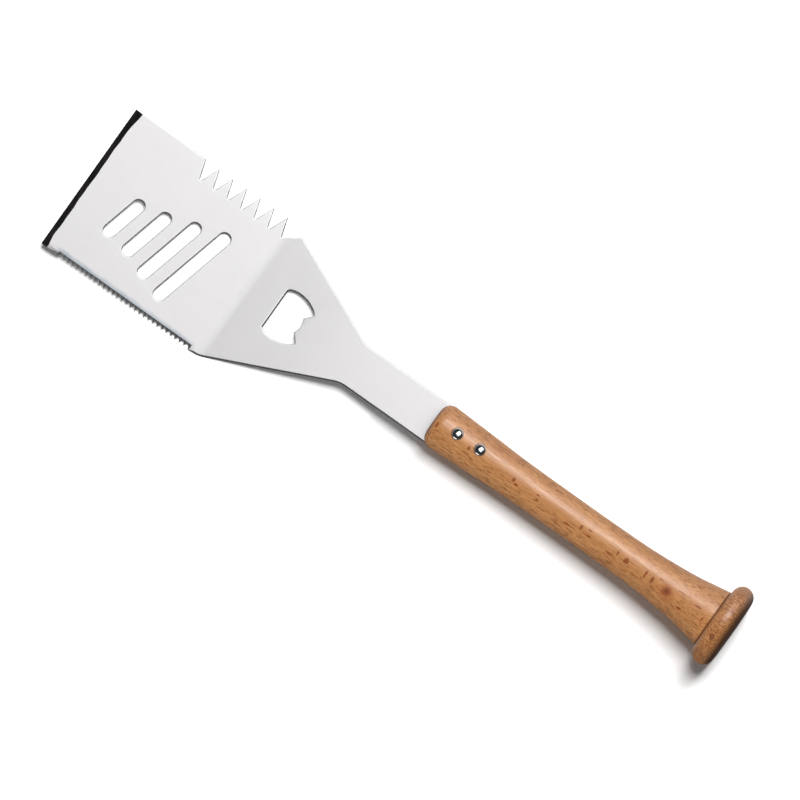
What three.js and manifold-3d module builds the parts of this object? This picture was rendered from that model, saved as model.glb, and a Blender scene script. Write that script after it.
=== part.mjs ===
// Grill spatula: a bent sheet-steel blade held by two rivets in a turned wooden handle.
//
// Millimetres, +Z up. The spatula lies as it does on a table: the bend under the blade and the
// rim of the knob touch the surface, and the handle climbs gently to the knob. +X runs from the
// blade's front edge to the knob, and the edge with the large teeth is on the +Y side. The
// origin is under the handle's axis, half way along the tool, on the surface.

import * as THREE from 'three';
import { mergeVertices } from 'three/addons/utils/BufferGeometryUtils.js';
import Module from 'manifold-3d';

const wasm = await Module();
wasm.setup();

const degrees = THREE.MathUtils.degToRad;

// ---- Driving dimensions -------------------------------------------------------------------

const OVERALL_LENGTH = 460;
const FIT_GAP = 0.3;                  // between pieces that touch on the real tool

// Sheet
const SHEET = 2;                      // thickness
const HEAD_LENGTH = 110;              // flat part of the head, front edge to bend
const TOOTHED_EDGE = 48;              // Y of the toothed edge
const FRONT_CORNER = new THREE.Vector2(0, -47.8);
const PLAIN_SHOULDER = new THREE.Vector2(112, -48.4);
const TOOTHED_SHOULDER = new THREE.Vector2(122.1, 43.3);
const SHOULDER_ROUNDING = 3;
const HEAD_RISE = degrees(3);         // the head's tilt up towards its front edge
const NECK_SLOPE = degrees(8);        // the neck's climb from the bend to the tang
const HANDLE_SLOPE = degrees(3);      // the climb of the tang and the handle towards the knob
const BEND_RADIUS = 32;
const SWEEP_RADIUS = 900;             // the long easy bend between neck and tang
const TANG_WIDTH = 26.8;
const TANG_IN_HANDLE = 57;
const TANG_END_WIDTH = 22.8;          // the tang narrows inside the handle
const NECK_END = 189.7;               // where neck and tang edges would meet, along the sheet
const NECK_FILLET = 4;                // how far that corner's rounding reaches each way

// Ground edges
const FRONT_GRIND = 3.4;              // width of the grind along the front edge
const FRONT_EDGE = 0.5;               // thickness that the grind leaves at the front edge
const SIDE_GRIND = 2.4;
const SIDE_EDGE = 1.1;

// Large teeth along the +Y edge: a steep flank, a rounded root, a slanted flank
const TOOTH_COUNT = 7;
const TOOTH_PITCH = 9.77;
const FIRST_TOOTH = 50.1;
const TOOTH_ROOT_START = new THREE.Vector2(3.4, -10.8);
const TOOTH_ROOT_LOWEST = new THREE.Vector2(3.85, -12.6);
const TOOTH_ROOT_END = new THREE.Vector2(4.75, -11.2);

// Fine scallops along the -Y edge
const SCALLOP_COUNT = 29;
const SCALLOP_PITCH = 3.2;
const SCALLOP_DEPTH = 2.2;
const FIRST_SCALLOP = 12.2;

// Slanted drain slots
const SLOT_WIDTH = 7.4;
const SLOT_TILT = degrees(14.4);      // from straight across the head
const SLOT_PITCH = 16.2;
const FIRST_SLOT = new THREE.Vector2(30.9, -8.1);
const SLOT_SPANS = [21.8, 27.6, 38.6, 49.2];   // between the centres of each slot's round ends

// Bottle opener, measured along the sheet from its straight side
const OPENER_START = 133.5;
const OPENER_HALF_SIDE = 12.8;
const OPENER_POCKET = new THREE.Vector2(21.1, 9.8);
const OPENER_TOOTH = new THREE.Vector2(16.6, 4.9);
const OPENER_HOLLOW = 19.4;           // control point of the shallow arc between the teeth
const OPENER_BULGE_NEAR = new THREE.Vector2(2.9, 16.4);    // control points of the curved sides
const OPENER_BULGE_FAR = new THREE.Vector2(14.4, 16.4);

// Handle, measured from its front face along its axis
const HANDLE_LENGTH = 212.7;
const HANDLE_FRONT_RADIUS = 14.2;
const HANDLE_FRONT_ROUNDING = 6.5;
const HANDLE_WAIST = [
  [6.5, 14.2],
  [36, 13.15],
  [59, 12.3],
  [94, 12],
  [129, 12.1],
  [150.7, 12.65],
  [173.7, 14.4],
  [185.7, 16.1],
  [199.1, 18.4],
];
const KNOB_RADIUS = 26.3;
const KNOB_RIM = 6.6;                 // radius of the knob's full-round rim
const HANDLE_SEGMENTS = 40;
const WAIST_STEPS = 20;
const ROUND_STEPS = 10;

// Rivets, measured from the handle's front face
const RIVETS = [
  { name: 'rivet_front', distance: 16.1 },
  { name: 'rivet_rear', distance: 32.1 },
];
const RIVET_SIDEWAYS = 1.5;           // off the handle's axis, toward the toothed edge
const RIVET_HEAD_RADIUS = 3.55;
const RIVET_RIM_HEIGHT = 0.35;
const RIVET_DOME_HEIGHT = 0.95;
const BARREL_RADIUS = 2.5;
const BARREL_BORE = 1.9;
const STEM_RADIUS = 1.6;
const SEAT_DEPTH = 1.25;              // depth of the counterbore under the handle's crown
const RIVET_SEGMENTS = 24;
const DOME_STEPS = 5;

// ---- Solids: meshes that can be cut and joined --------------------------------------------

function toSolid(geometry) {
  const bare = geometry.clone();
  bare.deleteAttribute('normal');
  bare.deleteAttribute('uv');
  const merged = mergeVertices(bare, 1e-4);
  return new wasm.Manifold(new wasm.Mesh({
    numProp: 3,
    vertProperties: new Float32Array(merged.attributes.position.array),
    triVerts: new Uint32Array(merged.index.array),
  }));
}

function toGeometry(solid) {
  const mesh = solid.getMesh();
  const geometry = new THREE.BufferGeometry();
  geometry.setAttribute('position', new THREE.Float32BufferAttribute(mesh.vertProperties, 3));
  geometry.setIndex(Array.from(mesh.triVerts));
  return geometry;
}

function cut(geometry, cutters) {
  let solid = toSolid(geometry);
  for (const cutter of cutters) {
    solid = solid.subtract(toSolid(cutter));
  }
  return toGeometry(solid);
}

function extrude(shape, depth, curveSegments) {
  const geometry = new THREE.ExtrudeGeometry(shape, { depth, curveSegments, bevelEnabled: false });
  return geometry.translate(0, 0, -depth / 2);
}

// A section drawn in X and Z, drawn out along Y about the middle.
function barAcross(points, length) {
  return extrude(new THREE.Shape(points), length, 1).rotateX(Math.PI / 2);
}

// A section drawn in Y and Z, drawn out along X about the middle.
function barAlong(points, length) {
  const turn = new THREE.Matrix4().set(0, 0, 1, 0, 1, 0, 0, 0, 0, 1, 0, 0, 0, 0, 0, 1);
  return extrude(new THREE.Shape(points), length, 1).applyMatrix4(turn);
}

function cylinderUp(radius, height) {
  return new THREE.CylinderGeometry(radius, radius, height, RIVET_SEGMENTS).rotateX(Math.PI / 2);
}

// ---- How the tool lies, seen from the side ------------------------------------------------

// The centre of the handle's front face, as X from the blade's front edge and height above the
// surface. The lowest point of the knob's round rim touches the surface.
const RIM_RING = KNOB_RADIUS - KNOB_RIM;
const RIM_DISTANCE = HANDLE_LENGTH - KNOB_RIM;
const HANDLE_FRONT = new THREE.Vector2(
  OVERALL_LENGTH - KNOB_RIM - RIM_RING * Math.sin(HANDLE_SLOPE)
    - RIM_DISTANCE * Math.cos(HANDLE_SLOPE),
  KNOB_RIM + RIM_RING * Math.cos(HANDLE_SLOPE) - RIM_DISTANCE * Math.sin(HANDLE_SLOPE),
);

// The height of the middle of the sheet at the front edge. The head slopes down from there, and
// the underside of the bend touches the surface.
const FRONT_HEIGHT = SHEET / 2 + HEAD_LENGTH * Math.sin(HEAD_RISE)
  + BEND_RADIUS * (1 - Math.cos(HEAD_RISE));

// Stretches of the middle of the sheet from the front edge back: how long each is, how far
// it turns, and in how many flat strips it is bent.
function sheetStretches(neckLength) {
  const sweep = NECK_SLOPE - HANDLE_SLOPE;
  return [
    { length: HEAD_LENGTH, turn: 0, strips: 1 },
    { length: BEND_RADIUS * HEAD_RISE, turn: HEAD_RISE, strips: 1 },
    { length: BEND_RADIUS * NECK_SLOPE, turn: NECK_SLOPE, strips: 3 },
    { length: neckLength, turn: 0, strips: 1 },
    { length: SWEEP_RADIUS * sweep, turn: -sweep, strips: 6 },
  ];
}

function totalLength(stretches) {
  return stretches.reduce((sum, stretch) => sum + stretch.length, 0);
}

// Walks back along the sheet and gives where its middle is, and its slope there.
function follow(stretches, distance) {
  let left = distance;
  let slope = -HEAD_RISE;
  const place = new THREE.Vector2(0, FRONT_HEIGHT);
  for (const stretch of stretches) {
    const length = Math.min(left, stretch.length);
    const turn = stretch.length > 0 ? stretch.turn * length / stretch.length : 0;
    const chord = turn === 0 ? length : 2 * (length / turn) * Math.sin(turn / 2);
    place.x += chord * Math.cos(slope + turn / 2);
    place.y += chord * Math.sin(slope + turn / 2);
    slope += turn;
    left -= length;
  }
  place.x += left * Math.cos(slope);
  place.y += left * Math.sin(slope);
  return { x: place.x, z: place.y, slope };
}

// With no neck the tang would run below the handle's axis. The neck climbs more steeply than
// the tang, and is as long as it takes to bring the two into line.
function neckLengthNeeded() {
  const bare = sheetStretches(0);
  const end = follow(bare, totalLength(bare));
  const below = (HANDLE_FRONT.y - end.z) * Math.cos(HANDLE_SLOPE)
    - (HANDLE_FRONT.x - end.x) * Math.sin(HANDLE_SLOPE);
  return below / Math.sin(NECK_SLOPE - HANDLE_SLOPE);
}

const STRETCHES = sheetStretches(neckLengthNeeded());
const TANG_START = totalLength(STRETCHES);
const TANG_SEEN = (HANDLE_FRONT.x - follow(STRETCHES, TANG_START).x) / Math.cos(HANDLE_SLOPE);
const HANDLE_FRONT_ON_SHEET = TANG_START + TANG_SEEN;

// Where the flat sheet has to be divided so that it can bend.
function bendLines() {
  const lines = [];
  let start = 0;
  for (const stretch of STRETCHES) {
    for (let i = 0; i < stretch.strips; i += 1) {
      lines.push(start + stretch.length * i / stretch.strips);
    }
    start += stretch.length;
  }
  lines.push(start);
  return lines.slice(1);
}

// The part of a triangle or polygon on one side of a line across the sheet. A crossing point
// is always worked out from the lower end of its edge, so neighbours get the same point.
function keepSide(corners, line, side) {
  const kept = [];
  corners.forEach((corner, i) => {
    const next = corners[(i + 1) % corners.length];
    const here = (corner.x - line) * side;
    const there = (next.x - line) * side;
    if (here >= 0) kept.push(corner);
    if (here * there < 0) {
      const [low, high] = corner.x < next.x ? [corner, next] : [next, corner];
      const crossing = low.clone().lerp(high, (line - low.x) / (high.x - low.x));
      crossing.x = line;
      kept.push(crossing);
    }
  });
  return kept;
}

function fanOut(corners) {
  const triangles = [];
  for (let i = 2; i < corners.length; i += 1) {
    triangles.push([corners[0], corners[i - 1], corners[i]]);
  }
  return triangles;
}

function divideAt(triangles, line) {
  return triangles.flatMap((triangle) => {
    const reach = triangle.map((corner) => corner.x - line);
    if (Math.min(...reach) >= 0 || Math.max(...reach) <= 0) return [triangle];
    return [...fanOut(keepSide(triangle, line, 1)), ...fanOut(keepSide(triangle, line, -1))];
  });
}

function bend(flatGeometry) {
  const soup = flatGeometry.toNonIndexed().attributes.position;
  let triangles = [];
  for (let i = 0; i < soup.count; i += 3) {
    triangles.push([0, 1, 2].map((k) => new THREE.Vector3().fromBufferAttribute(soup, i + k)));
  }
  for (const line of bendLines()) {
    triangles = divideAt(triangles, line);
  }
  const points = triangles.flat().map((corner) => {
    const middle = follow(STRETCHES, corner.x);
    const x = middle.x - corner.z * Math.sin(middle.slope);
    const z = middle.z + corner.z * Math.cos(middle.slope);
    return new THREE.Vector3(x, corner.y, z);
  });
  return mergeVertices(new THREE.BufferGeometry().setFromPoints(points), 1e-4);
}

// ---- Blade --------------------------------------------------------------------------------

function toothedEdge(outline) {
  for (let i = TOOTH_COUNT - 1; i >= 0; i -= 1) {
    const tip = new THREE.Vector2(FIRST_TOOTH + i * TOOTH_PITCH, TOOTHED_EDGE);
    const rootEnd = tip.clone().add(TOOTH_ROOT_END);
    const lowest = tip.clone().add(TOOTH_ROOT_LOWEST);
    const rootStart = tip.clone().add(TOOTH_ROOT_START);
    outline.lineTo(rootEnd.x, rootEnd.y);
    outline.quadraticCurveTo(lowest.x, lowest.y, rootStart.x, rootStart.y);
    outline.lineTo(tip.x, tip.y);
  }
}

function scallopedEdge(outline) {
  const edge = PLAIN_SHOULDER.clone().sub(FRONT_CORNER).normalize();
  const start = FRONT_CORNER.clone().addScaledVector(edge, FIRST_SCALLOP);
  outline.lineTo(start.x, start.y);
  for (let i = 0; i < SCALLOP_COUNT; i += 1) {
    const middle = start.clone().addScaledVector(edge, (i + 0.5) * SCALLOP_PITCH);
    const end = start.clone().addScaledVector(edge, (i + 1) * SCALLOP_PITCH);
    outline.quadraticCurveTo(middle.x, middle.y + 2 * SCALLOP_DEPTH, end.x, end.y);
  }
}

// A rounded corner that starts and ends the same distance from the sharp one.
function roundCorner(outline, before, corner, after, reach) {
  const start = corner.clone().add(before.clone().sub(corner).setLength(reach));
  const end = corner.clone().add(after.clone().sub(corner).setLength(reach));
  outline.lineTo(start.x, start.y);
  outline.quadraticCurveTo(corner.x, corner.y, end.x, end.y);
}

function slot(index) {
  const centre = FIRST_SLOT.clone().setX(FIRST_SLOT.x + index * SLOT_PITCH);
  const halfSpan = SLOT_SPANS[index] / 2;
  const along = new THREE.Vector2(Math.sin(SLOT_TILT), Math.cos(SLOT_TILT));
  const upper = centre.clone().addScaledVector(along, halfSpan);
  const lower = centre.clone().addScaledVector(along, -halfSpan);
  const path = new THREE.Path();
  path.absarc(upper.x, upper.y, SLOT_WIDTH / 2, -SLOT_TILT, Math.PI - SLOT_TILT);
  path.absarc(lower.x, lower.y, SLOT_WIDTH / 2, Math.PI - SLOT_TILT, 2 * Math.PI - SLOT_TILT);
  return path;
}

function bottleOpener() {
  const x = OPENER_START;
  const near = OPENER_BULGE_NEAR;
  const far = OPENER_BULGE_FAR;
  const pocket = OPENER_POCKET;
  const tooth = OPENER_TOOTH;
  const path = new THREE.Path();
  path.moveTo(x, -OPENER_HALF_SIDE);
  path.bezierCurveTo(x + near.x, -near.y, x + far.x, -far.y, x + pocket.x, -pocket.y);
  path.lineTo(x + tooth.x, -tooth.y);
  path.quadraticCurveTo(x + OPENER_HOLLOW, 0, x + tooth.x, tooth.y);
  path.lineTo(x + pocket.x, pocket.y);
  path.bezierCurveTo(x + far.x, far.y, x + near.x, near.y, x, OPENER_HALF_SIDE);
  path.closePath();
  return path;
}

function blankShape() {
  const tang = TANG_WIDTH / 2;
  const tangEnd = HANDLE_FRONT_ON_SHEET + TANG_IN_HANDLE;
  const neckEnd = new THREE.Vector2(NECK_END, -tang);
  const handleFront = new THREE.Vector2(HANDLE_FRONT_ON_SHEET, -tang);
  const outline = new THREE.Shape();
  outline.moveTo(0, TOOTHED_EDGE);
  outline.lineTo(FRONT_CORNER.x, FRONT_CORNER.y);
  scallopedEdge(outline);
  roundCorner(outline, FRONT_CORNER, PLAIN_SHOULDER, neckEnd, SHOULDER_ROUNDING);
  roundCorner(outline, PLAIN_SHOULDER, neckEnd, handleFront, NECK_FILLET);
  outline.lineTo(handleFront.x, -tang);
  outline.lineTo(tangEnd, -TANG_END_WIDTH / 2);
  outline.lineTo(tangEnd, TANG_END_WIDTH / 2);
  outline.lineTo(handleFront.x, tang);
  const neckEndAcross = new THREE.Vector2(NECK_END, tang);
  const frontAcross = new THREE.Vector2(HANDLE_FRONT_ON_SHEET, tang);
  roundCorner(outline, frontAcross, neckEndAcross, TOOTHED_SHOULDER, NECK_FILLET);
  outline.lineTo(TOOTHED_SHOULDER.x, TOOTHED_SHOULDER.y);
  toothedEdge(outline);
  outline.closePath();
  outline.holes = [...SLOT_SPANS.map((span, i) => slot(i)), bottleOpener()];
  return outline;
}

// Everything above the slanted face that a grind leaves, from its edge thickness up to the
// full sheet. The points run outwards from the grind's inner line.
function grindSection(width, edgeThickness) {
  const top = SHEET / 2;
  const drop = SHEET - edgeThickness;
  return [
    new THREE.Vector2(width, top),
    new THREE.Vector2(width, top + 1),
    new THREE.Vector2(-width, top + 1),
    new THREE.Vector2(-width, top - 2 * drop),
  ];
}

function frontGrind() {
  return barAcross(grindSection(FRONT_GRIND, FRONT_EDGE), 2 * TOOTHED_EDGE + 4);
}

function sideGrind() {
  const start = FIRST_SCALLOP - 1;
  const end = FIRST_SCALLOP + SCALLOP_COUNT * SCALLOP_PITCH + 1;
  const bar = barAlong(grindSection(SIDE_GRIND, SIDE_EDGE), end - start);
  return bar.translate((start + end) / 2, FRONT_CORNER.y, 0);
}

function bladeGeometry() {
  const holes = RIVETS.map((rivet) => {
    const hole = cylinderUp(BARREL_RADIUS + FIT_GAP, SHEET * 3);
    return hole.translate(HANDLE_FRONT_ON_SHEET + rivet.distance, RIVET_SIDEWAYS, 0);
  });
  const flat = cut(extrude(blankShape(), SHEET, 6), [frontGrind(), sideGrind(), ...holes]);
  return bend(flat);
}

// ---- Handle -------------------------------------------------------------------------------

function quarterRound(centreX, centreRadius, radius) {
  const points = [];
  for (let i = 0; i <= ROUND_STEPS / 2; i += 1) {
    const angle = Math.PI - (Math.PI / 2) * (i / (ROUND_STEPS / 2));
    const x = centreX + radius * Math.cos(angle);
    points.push(new THREE.Vector2(centreRadius + radius * Math.sin(angle), x));
  }
  return points;
}

function knobRim() {
  const points = [];
  for (let i = 0; i <= ROUND_STEPS; i += 1) {
    const angle = Math.PI - Math.PI * (i / ROUND_STEPS);
    const x = HANDLE_LENGTH - KNOB_RIM + KNOB_RIM * Math.cos(angle);
    points.push(new THREE.Vector2(KNOB_RADIUS - KNOB_RIM + KNOB_RIM * Math.sin(angle), x));
  }
  return points;
}

// Distance from the front face runs along the lathe's axis, and the radius across it.
function handleProfile() {
  const rounding = HANDLE_FRONT_ROUNDING;
  const waist = new THREE.SplineCurve(HANDLE_WAIST.map(([x, r]) => new THREE.Vector2(r, x)));
  return [
    new THREE.Vector2(0, 0),
    ...quarterRound(rounding, HANDLE_FRONT_RADIUS - rounding, rounding),
    ...waist.getPoints(WAIST_STEPS),
    ...knobRim(),
    new THREE.Vector2(0, HANDLE_LENGTH),
  ];
}

// The handle's radius where a rivet goes through it.
function radiusAt(distance) {
  const [[x1, r1], [x2, r2]] = HANDLE_WAIST;
  return THREE.MathUtils.mapLinear(distance, x1, x2, r1, r2);
}

function kerf() {
  const length = TANG_IN_HANDLE + 1;
  const height = SHEET + 2 * FIT_GAP;
  return new THREE.BoxGeometry(2 * length, 3 * HANDLE_FRONT_RADIUS, height);
}

function rivetHole(rivet) {
  const through = cylinderUp(BARREL_RADIUS + FIT_GAP, 4 * HANDLE_FRONT_RADIUS);
  const seatHeight = radiusAt(rivet.distance) - SEAT_DEPTH;
  const seats = [1, -1].map((side) => {
    const seat = cylinderUp(RIVET_HEAD_RADIUS + FIT_GAP, 2 * SEAT_DEPTH + 1);
    return seat.translate(0, 0, side * (seatHeight + SEAT_DEPTH + 0.5));
  });
  return [through, ...seats].map((tool) => tool.translate(rivet.distance, RIVET_SIDEWAYS, 0));
}

function handleGeometry() {
  // Lathes turn about Y: the profile's own axis is laid along X.
  const turned = new THREE.LatheGeometry(handleProfile(), HANDLE_SEGMENTS).rotateZ(-Math.PI / 2);
  return cut(turned, [kerf(), ...RIVETS.flatMap((rivet) => rivetHole(rivet))]);
}

// ---- Rivets -------------------------------------------------------------------------------

// The dome, from its rim to its top on the axis. Heights are above the head's underside.
function domePoints() {
  const points = [];
  const sphere = (RIVET_HEAD_RADIUS ** 2 + RIVET_DOME_HEIGHT ** 2) / (2 * RIVET_DOME_HEIGHT);
  const spread = Math.asin(RIVET_HEAD_RADIUS / sphere);
  const centre = RIVET_RIM_HEIGHT + RIVET_DOME_HEIGHT - sphere;
  for (let i = 0; i <= DOME_STEPS; i += 1) {
    const angle = spread * (1 - i / DOME_STEPS);
    points.push(new THREE.Vector2(sphere * Math.sin(angle), centre + sphere * Math.cos(angle)));
  }
  return points;
}

// Turned about Z, with the underside of the head at height 0 and the dome above it.
function turnedRivet(shankPoints) {
  const profile = [...shankPoints, new THREE.Vector2(RIVET_HEAD_RADIUS, 0), ...domePoints()];
  return new THREE.LatheGeometry(profile, RIVET_SEGMENTS).rotateX(Math.PI / 2);
}

function stemGeometry(length) {
  return turnedRivet([
    new THREE.Vector2(0, -length),
    new THREE.Vector2(STEM_RADIUS - 0.3, -length),
    new THREE.Vector2(STEM_RADIUS, -length + 0.6),
    new THREE.Vector2(STEM_RADIUS, 0),
  ]);
}

function barrelGeometry(length) {
  return turnedRivet([
    new THREE.Vector2(0, -0.5),
    new THREE.Vector2(BARREL_BORE, -0.5),
    new THREE.Vector2(BARREL_BORE, -length),
    new THREE.Vector2(BARREL_RADIUS, -length),
    new THREE.Vector2(BARREL_RADIUS, 0),
  ]);
}

// ---- Assembly -----------------------------------------------------------------------------

const steel = { color: 0xcfcfce, roughness: 0.32, metalness: 1 };
const polished = { color: 0xd8d8d6, roughness: 0.12, metalness: 1 };
const beech = { color: 0xc98a52, roughness: 0.5, metalness: 0 };

function piece(name, geometry, look) {
  geometry.computeVertexNormals();
  const mesh = new THREE.Mesh(geometry, new THREE.MeshStandardMaterial(look));
  mesh.name = name;
  return mesh;
}

// Each rivet is a headed stem pushed down into a headed barrel from the other side.
function rivetPieces(rivet) {
  const underHead = radiusAt(rivet.distance) - SEAT_DEPTH + FIT_GAP;
  const stem = piece(`${rivet.name}_stem`, stemGeometry(underHead + 8), polished);
  const barrel = piece(`${rivet.name}_barrel`, barrelGeometry(underHead + 8), polished);
  stem.position.set(rivet.distance, RIVET_SIDEWAYS, underHead);
  barrel.position.set(rivet.distance, RIVET_SIDEWAYS, -underHead);
  barrel.rotation.x = Math.PI;
  return [stem, barrel];
}

const handleGroup = new THREE.Group();
handleGroup.add(piece('handle', handleGeometry(), beech));
for (const rivet of RIVETS) {
  handleGroup.add(...rivetPieces(rivet));
}
handleGroup.position.set(HANDLE_FRONT.x, 0, HANDLE_FRONT.y);
handleGroup.rotation.y = -HANDLE_SLOPE;

const spatula = new THREE.Group();
spatula.add(piece('blade', bladeGeometry(), steel), handleGroup);
spatula.position.x = -OVERALL_LENGTH / 2;

export default spatula;
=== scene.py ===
"""Looks for the grill spatula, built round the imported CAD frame.

Shapes are drawn in millimetres, measured from the blade's front edge or from the handle's
front face, and become metres in the row frame when their mesh is made.
"""

import math

import bmesh
import bpy
from mathutils import Matrix, Vector
from mathutils.geometry import delaunay_2d_cdt


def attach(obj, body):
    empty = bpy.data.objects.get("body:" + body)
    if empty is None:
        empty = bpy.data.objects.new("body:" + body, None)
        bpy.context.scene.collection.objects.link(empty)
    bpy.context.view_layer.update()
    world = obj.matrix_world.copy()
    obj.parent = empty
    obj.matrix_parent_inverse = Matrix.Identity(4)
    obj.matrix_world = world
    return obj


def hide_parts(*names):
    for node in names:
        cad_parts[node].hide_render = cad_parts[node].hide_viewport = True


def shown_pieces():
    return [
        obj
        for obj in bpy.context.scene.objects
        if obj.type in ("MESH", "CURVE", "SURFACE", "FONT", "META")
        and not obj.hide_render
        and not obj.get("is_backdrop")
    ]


MM = 0.001

# ---- Dimensions shared with the CAD source ----------------------------------------------------

OVERALL_LENGTH = 460.0

SHEET = 2.0
HEAD_LENGTH = 110.0
TOOTHED_EDGE = 48.0
FRONT_CORNER = Vector((0.0, -47.8))
PLAIN_SHOULDER = Vector((112.0, -48.4))
TOOTHED_SHOULDER = Vector((122.1, 43.3))
SHOULDER_ROUNDING = 3.0
HEAD_RISE = math.radians(3)
NECK_SLOPE = math.radians(8)
HANDLE_SLOPE = math.radians(3)
BEND_RADIUS = 32.0
SWEEP_RADIUS = 900.0
TANG_WIDTH = 26.8
TANG_IN_HANDLE = 57.0
TANG_END_WIDTH = 22.8
NECK_END = 189.7
NECK_FILLET = 4.0

FRONT_GRIND = 3.4
FRONT_EDGE = 0.5
SIDE_GRIND = 2.4
SIDE_EDGE = 1.1

TOOTH_COUNT = 7
TOOTH_PITCH = 9.77
FIRST_TOOTH = 50.1
TOOTH_ROOT_START = Vector((3.4, -10.8))
TOOTH_ROOT_LOWEST = Vector((3.85, -12.6))
TOOTH_ROOT_END = Vector((4.75, -11.2))

SCALLOP_COUNT = 29
SCALLOP_PITCH = 3.2
SCALLOP_DEPTH = 2.2
FIRST_SCALLOP = 12.2
SIDE_GRIND_START = FIRST_SCALLOP - 1
SIDE_GRIND_END = FIRST_SCALLOP + SCALLOP_COUNT * SCALLOP_PITCH + 1

SLOT_WIDTH = 7.4
SLOT_TILT = math.radians(14.4)
SLOT_PITCH = 16.2
FIRST_SLOT = Vector((30.9, -8.1))
SLOT_SPANS = (21.8, 27.6, 38.6, 49.2)

OPENER_START = 133.5
OPENER_HALF_SIDE = 12.8
OPENER_POCKET = Vector((21.1, 9.8))
OPENER_TOOTH = Vector((16.6, 4.9))
OPENER_HOLLOW = 19.4
OPENER_BULGE_NEAR = Vector((2.9, 16.4))
OPENER_BULGE_FAR = Vector((14.4, 16.4))

HANDLE_LENGTH = 212.7
HANDLE_FRONT_RADIUS = 14.2
HANDLE_FRONT_ROUNDING = 6.5
HANDLE_WAIST = [
    (6.5, 14.2),
    (36, 13.15),
    (59, 12.3),
    (94, 12.0),
    (129, 12.1),
    (150.7, 12.65),
    (173.7, 14.4),
    (185.7, 16.1),
    (199.1, 18.4),
]
KNOB_RADIUS = 26.3
KNOB_RIM = 6.6
KNOB_START = HANDLE_LENGTH - 2 * KNOB_RIM

RIVET_DISTANCES = {"rivet_front": 16.1, "rivet_rear": 32.1}
RIVET_SIDEWAYS = 1.5
RIVET_HEAD_RADIUS = 3.55
RIVET_RIM_HEIGHT = 0.35
RIVET_DOME_HEIGHT = 0.95
BARREL_RADIUS = 2.5
STEM_RADIUS = 1.6
SEAT_DEPTH = 1.25
FIT_GAP = 0.3

# ---- Clearances of the visual model, tighter than the CAD model's -----------------------------

KERF_GAP = 0.05                          # above and below the tang
SEAT_GAP = 0.12                          # round a rivet's head, in its counterbore
UNDER_HEAD_GAP = 0.15
SHANK_STOP = 2.0                         # between a rivet's shank and the middle of the tang

# ---- How finely curves are drawn: the number of straight steps in each ------------------------

TOOTH_ROOT_STEPS = 8
SCALLOP_STEPS = 8
CORNER_STEPS = 10
SLOT_END_STEPS = 20
OPENER_SIDE_STEPS = 16
OPENER_HOLLOW_STEPS = 10
RIVET_HOLE_STEPS = 32
BEND_STEPS = (3, 8, 1, 16)               # in each stretch of the sheet behind the head
EDGE_STEPS = 4                           # in the rounding of each edge of the sheet
HANDLE_SEGMENTS = 160
HANDLE_FRONT_STEPS = 14
WAIST_STEPS = 150
KNOB_RIM_STEPS = 40
RIVET_SEGMENTS = 64
DOME_STEPS = 24

# ---- Small helpers ----------------------------------------------------------------------------


def smooth_step(low, high, value):
    share = min(1.0, max(0.0, (value - low) / (high - low)))
    return share * share * (3 - 2 * share)


def quadratic(start, control, end, steps):
    """The points of a quadratic curve after its start."""
    points = []
    for i in range(1, steps + 1):
        t = i / steps
        points.append(start.lerp(control, t).lerp(control.lerp(end, t), t))
    return points


def cubic(start, first, second, end, steps):
    """The points of a cubic curve after its start."""
    points = []
    for i in range(1, steps + 1):
        t = i / steps
        a, b, c = start.lerp(first, t), first.lerp(second, t), second.lerp(end, t)
        points.append(a.lerp(b, t).lerp(b.lerp(c, t), t))
    return points


def arc(centre, radius, start, end, steps):
    angles = [start + (end - start) * i / steps for i in range(steps + 1)]
    return [centre + radius * Vector((math.cos(a), math.sin(a))) for a in angles]


def add_object(name, mesh, material_list):
    for material in material_list:
        mesh.materials.append(material)
    made = bpy.data.objects.new(name, mesh)
    bpy.context.scene.collection.objects.link(made)
    return made


# ---- The sheet's side profile -----------------------------------------------------------------

RIM_RING = KNOB_RADIUS - KNOB_RIM
RIM_DISTANCE = HANDLE_LENGTH - KNOB_RIM
HANDLE_FRONT_X = (
    OVERALL_LENGTH
    - KNOB_RIM
    - RIM_RING * math.sin(HANDLE_SLOPE)
    - RIM_DISTANCE * math.cos(HANDLE_SLOPE)
)
HANDLE_FRONT_Z = KNOB_RIM + RIM_RING * math.cos(HANDLE_SLOPE) - RIM_DISTANCE * math.sin(HANDLE_SLOPE)
FRONT_HEIGHT = (
    SHEET / 2 + HEAD_LENGTH * math.sin(HEAD_RISE) + BEND_RADIUS * (1 - math.cos(HEAD_RISE))
)


def sheet_stretches(neck_length):
    """(length, turn) of each stretch of the middle of the sheet, from the front edge back."""
    sweep = NECK_SLOPE - HANDLE_SLOPE
    return [
        (HEAD_LENGTH, 0.0),
        (BEND_RADIUS * HEAD_RISE, HEAD_RISE),
        (BEND_RADIUS * NECK_SLOPE, NECK_SLOPE),
        (neck_length, 0.0),
        (SWEEP_RADIUS * sweep, -sweep),
    ]


def follow(stretches, distance):
    """Where the middle of the sheet is after this distance along it, and its slope there."""
    left, slope, x, z = distance, -HEAD_RISE, 0.0, FRONT_HEIGHT
    for length, whole_turn in stretches:
        step = min(left, length)
        turn = whole_turn * step / length if length > 0 else 0.0
        chord = step if turn == 0 else 2 * (step / turn) * math.sin(turn / 2)
        x += chord * math.cos(slope + turn / 2)
        z += chord * math.sin(slope + turn / 2)
        slope += turn
        left -= step
    return x + left * math.cos(slope), z + left * math.sin(slope), slope


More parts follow.
